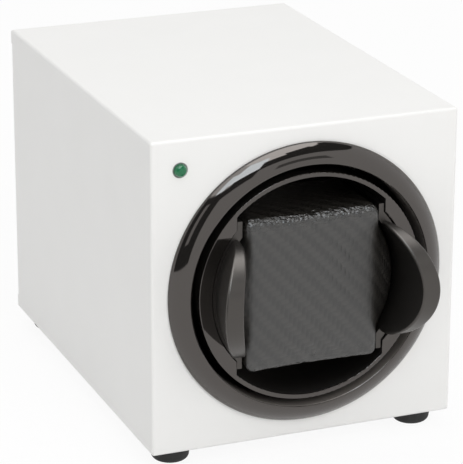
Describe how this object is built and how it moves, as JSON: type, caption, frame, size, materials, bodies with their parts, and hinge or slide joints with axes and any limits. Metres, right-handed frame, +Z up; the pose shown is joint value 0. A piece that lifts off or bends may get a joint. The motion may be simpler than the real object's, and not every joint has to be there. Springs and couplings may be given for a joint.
{
  "type": "watch winder box",
  "caption": "White box on rubber feet with a motor-driven black drum that holds a removable padded watch cushion with curved finger tabs.",
  "frame": {"origin": "centre of the bounding box at the bottom of the feet", "axes": "+Z up, +Y from the drum opening towards the back, +X to the right seen from the front"},
  "size_m": [0.125, 0.198, 0.1315],
  "materials": {
    "white_lacquer": "satin white lacquer on fibreboard",
    "raw_wood": "plain softwood",
    "rear_black": "fine moulded texture",
    "foot_rubber": "matt rubber",
    "gloss_black": "polished",
    "housing_black": "plain moulded",
    "lamp_ring": "satin moulded",
    "cuff_black": "satin moulded",
    "weave_leatherette": "carbon-weave embossed leatherette",
    "pad_foam": "open-cell foam",
    "lamp_green": "tinted clear lens",
    "zinc_steel": "zinc plated",
    "bright_steel": "ground",
    "bush_bronze": "sintered",
    "gear_nylon": "natural moulded",
    "board_green": "solder resist",
    "control_black": "satin moulded",
    "spacer_nylon": "natural moulded"
  },
  "bodies": {
    "case": {"front_panel": "white_lacquer", "top_panel": "white_lacquer", "bottom_panel": "white_lacquer", "left_panel": "white_lacquer", "right_panel": "white_lacquer", "corner_blocks": "raw_wood", "rear_panel": "rear_black", "motor_end_cap": "rear_black", "front_left_foot": "foot_rubber", "front_right_foot": "foot_rubber", "rear_left_foot": "foot_rubber", "rear_right_foot": "foot_rubber", "front_bezel": "gloss_black", "drum_housing": "housing_black", "led_holder": "lamp_ring", "led_lamp": "lamp_green", "rear_panel_screws": "zinc_steel", "foot_screws": "zinc_steel", "housing_screws": "zinc_steel", "gear_plate_front": "zinc_steel", "gear_plate_rear": "zinc_steel", "gearbox_screws": "zinc_steel", "motor_can": "zinc_steel", "motor_screws": "zinc_steel", "board_screws": "zinc_steel", "first_idler_axle": "bright_steel", "second_idler_axle": "bright_steel", "plate_spacers": "bright_steel", "front_bush": "bush_bronze", "rear_bush": "bush_bronze", "control_board": "board_green", "turns_switch": "control_black", "direction_switch": "control_black", "dc_jack": "control_black", "board_spacers": "spacer_nylon"},
    "drum": {"drum_cup": "gloss_black", "output_shaft": "bright_steel", "output_gear": "gear_nylon", "drum_washer": "zinc_steel", "drum_screw": "zinc_steel"},
    "cuff": {"cuff_frame": "cuff_black", "cuff_foam": "pad_foam", "cuff_cover": "weave_leatherette"},
    "second_idler": {"second_idler": "gear_nylon"},
    "first_idler": {"first_idler": "gear_nylon"},
    "motor_rotor": {"motor_shaft": "bright_steel", "motor_pinion": "gear_nylon"},
    "turns_control": {"turns_spindle": "bright_steel", "turns_knob": "control_black"},
    "direction_control": {"direction_spindle": "bright_steel", "direction_knob": "control_black"}
  },
  "joints": [
    {"name": "drum_spin", "type": "hinge", "parent": "case", "child": "drum", "pos_m": [0, -0.071, 0.069], "axis": [0, 1, 0], "continuous": true},
    {"name": "second_idler_spin", "type": "hinge", "parent": "case", "child": "second_idler", "pos_m": [-0.0203, -0.071, 0.06161], "axis": [0, 1, 0], "continuous": true},
    {"name": "first_idler_spin", "type": "hinge", "parent": "case", "child": "first_idler", "pos_m": [-0.02342, -0.071, 0.07934], "axis": [0, 1, 0], "continuous": true},
    {"name": "motor_spin", "type": "hinge", "parent": "case", "child": "motor_rotor", "pos_m": [-0.00651, -0.071, 0.0855], "axis": [0, 1, 0], "continuous": true},
    {"name": "cuff_slide", "type": "slide", "parent": "drum", "child": "cuff", "axis": [0, -1, 0], "range_m": [0, 0.06]},
    {"name": "turns_knob_turn", "type": "hinge", "parent": "case", "child": "turns_control", "pos_m": [0.02, -0.071, 0.081], "axis": [0, 1, 0], "range_deg": [0, 120]},
    {"name": "direction_knob_turn", "type": "hinge", "parent": "case", "child": "direction_control", "pos_m": [-0.02, -0.071, 0.081], "axis": [0, 1, 0], "range_deg": [-45, 45]}
  ],
  "couplings": [
    {"joint": "second_idler_spin", "follows": "drum_spin", "ratio": -5},
    {"joint": "first_idler_spin", "follows": "drum_spin", "ratio": 20},
    {"joint": "motor_spin", "follows": "drum_spin", "ratio": -80}
  ]
}
